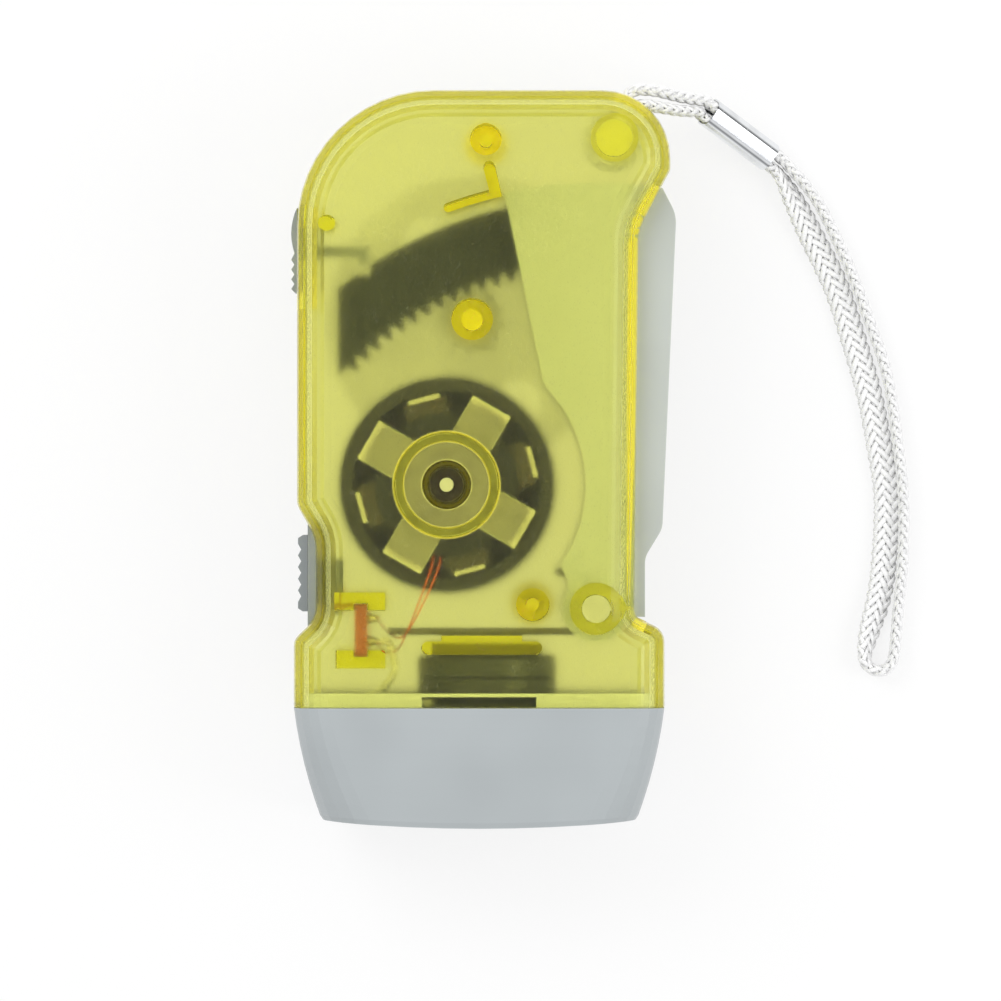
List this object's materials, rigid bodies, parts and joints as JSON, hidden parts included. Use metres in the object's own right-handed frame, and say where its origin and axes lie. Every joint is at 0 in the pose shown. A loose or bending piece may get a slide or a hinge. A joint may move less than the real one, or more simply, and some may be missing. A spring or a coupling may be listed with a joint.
{
  "type": "dynamo flashlight",
  "caption": "Hand-powered flashlight in a see-through housing, with a squeeze lever, gear train, generator, lamp head, slide switch, lever lock and wrist strap.",
  "frame": {"origin": "on the flat back, under the middle of the body without its strap", "axes": "+Z out of the front shell, +Y from the lamp head towards the crown, +X towards the squeeze lever"},
  "size_m": [0.0899, 0.1074, 0.03],
  "materials": {
    "housing_yellow": "clear tinted, glossy",
    "head_grey": "moulded, satin",
    "lens_clear": "clear, polished",
    "reflector_bright": "metallised, bright",
    "lamp_clear": "clear, polished",
    "board_green": "solder mask",
    "holder_black": "moulded",
    "cell_sleeve": "steel cells in a dark sleeve",
    "plate_grey": "moulded, satin",
    "board_brown": "phenolic sheet",
    "solder": "solder",
    "wire_white": "insulated",
    "copper": "enamelled copper",
    "stator_steel": "stamped, plated",
    "bobbin_black": "moulded",
    "bush_bronze": "sintered",
    "pin_steel": "ground",
    "screw_steel": "zinc plated",
    "spring_steel": "drawn wire",
    "strap_white": "braided",
    "ferrule_chrome": "plated",
    "lever_grey": "moulded, satin",
    "sector_black": "moulded",
    "pinion_ivory": "moulded",
    "gear_white": "moulded",
    "rotor_black": "moulded",
    "magnet_dark": "bonded ferrite",
    "pinion_brass": "cut",
    "slider_grey": "moulded, satin",
    "contact_brass": "sprung strip"
  },
  "bodies": {
    "housing": {"front_shell": "housing_yellow", "rear_shell": "housing_yellow", "head_cup": "head_grey", "lens": "lens_clear", "reflector": "reflector_bright", "led_left": "lamp_clear", "led_centre": "lamp_clear", "led_right": "lamp_clear", "led_board": "board_green", "battery_holder": "holder_black", "battery_cells": "cell_sleeve", "switch_plate": "plate_grey", "switch_board": "board_brown", "switch_terminals": "solder", "switch_wire": "wire_white", "copper_leads": "copper", "stator_top_claws": "stator_steel", "stator_bottom_claws": "stator_steel", "coil_bobbin": "bobbin_black", "coil_winding": "copper", "shaft_bushes": "bush_bronze", "idler_axle": "pin_steel", "pivot_pin": "pin_steel", "case_screws": "screw_steel", "torsion_spring": "spring_steel", "strap_anchor": "strap_white", "strap": "strap_white", "strap_ferrule": "ferrule_chrome"},
    "lever_body": {"lever": "lever_grey", "gear_sector": "sector_black"},
    "drive_pinion_body": {"drive_pinion": "pinion_ivory"},
    "large_gear_body": {"large_gear": "gear_white"},
    "rotor_body": {"rotor_cup": "rotor_black", "magnet_ring": "magnet_dark", "rotor_shaft": "pin_steel", "flywheel_pinion": "pinion_brass"},
    "lock_body": {"lock_slider": "slider_grey"},
    "switch_body": {"switch_slider": "slider_grey", "switch_contact": "contact_brass"}
  },
  "joints": [
    {"name": "lever_squeeze", "type": "hinge", "parent": "housing", "child": "lever_body", "pos_m": [0.01613, -0.02147, 0.015], "axis": [0, 0, -1], "range_deg": [0, 20], "deforming": ["torsion_spring"]},
    {"name": "drive_pinion_spin", "type": "hinge", "parent": "housing", "child": "drive_pinion_body", "pos_m": [-0.00161, 0.02005, 0.015], "axis": [0, 0, -1], "range_deg": [0, 240]},
    {"name": "flywheel_spin", "type": "hinge", "parent": "housing", "child": "rotor_body", "pos_m": [-0.00527, -0.00367, 0.015], "axis": [0, 0, 1], "continuous": true},
    {"name": "large_gear_spin", "type": "hinge", "parent": "housing", "child": "large_gear_body", "pos_m": [-0.00161, 0.02005, 0.015], "axis": [0, 0, 1], "continuous": true},
    {"name": "lock_slide", "type": "slide", "parent": "housing", "child": "lock_body", "axis": [0, -1, 0], "range_m": [0, 0.0016]},
    {"name": "switch_slide", "type": "slide", "parent": "housing", "child": "switch_body", "axis": [0, -1, 0], "range_m": [0, 0.002]}
  ],
  "couplings": [
    {"joint": "drive_pinion_spin", "follows": "lever_squeeze", "ratio": 11.75},
    {"joint": "large_gear_spin", "follows": "flywheel_spin", "ratio": -0.14286}
  ]
}
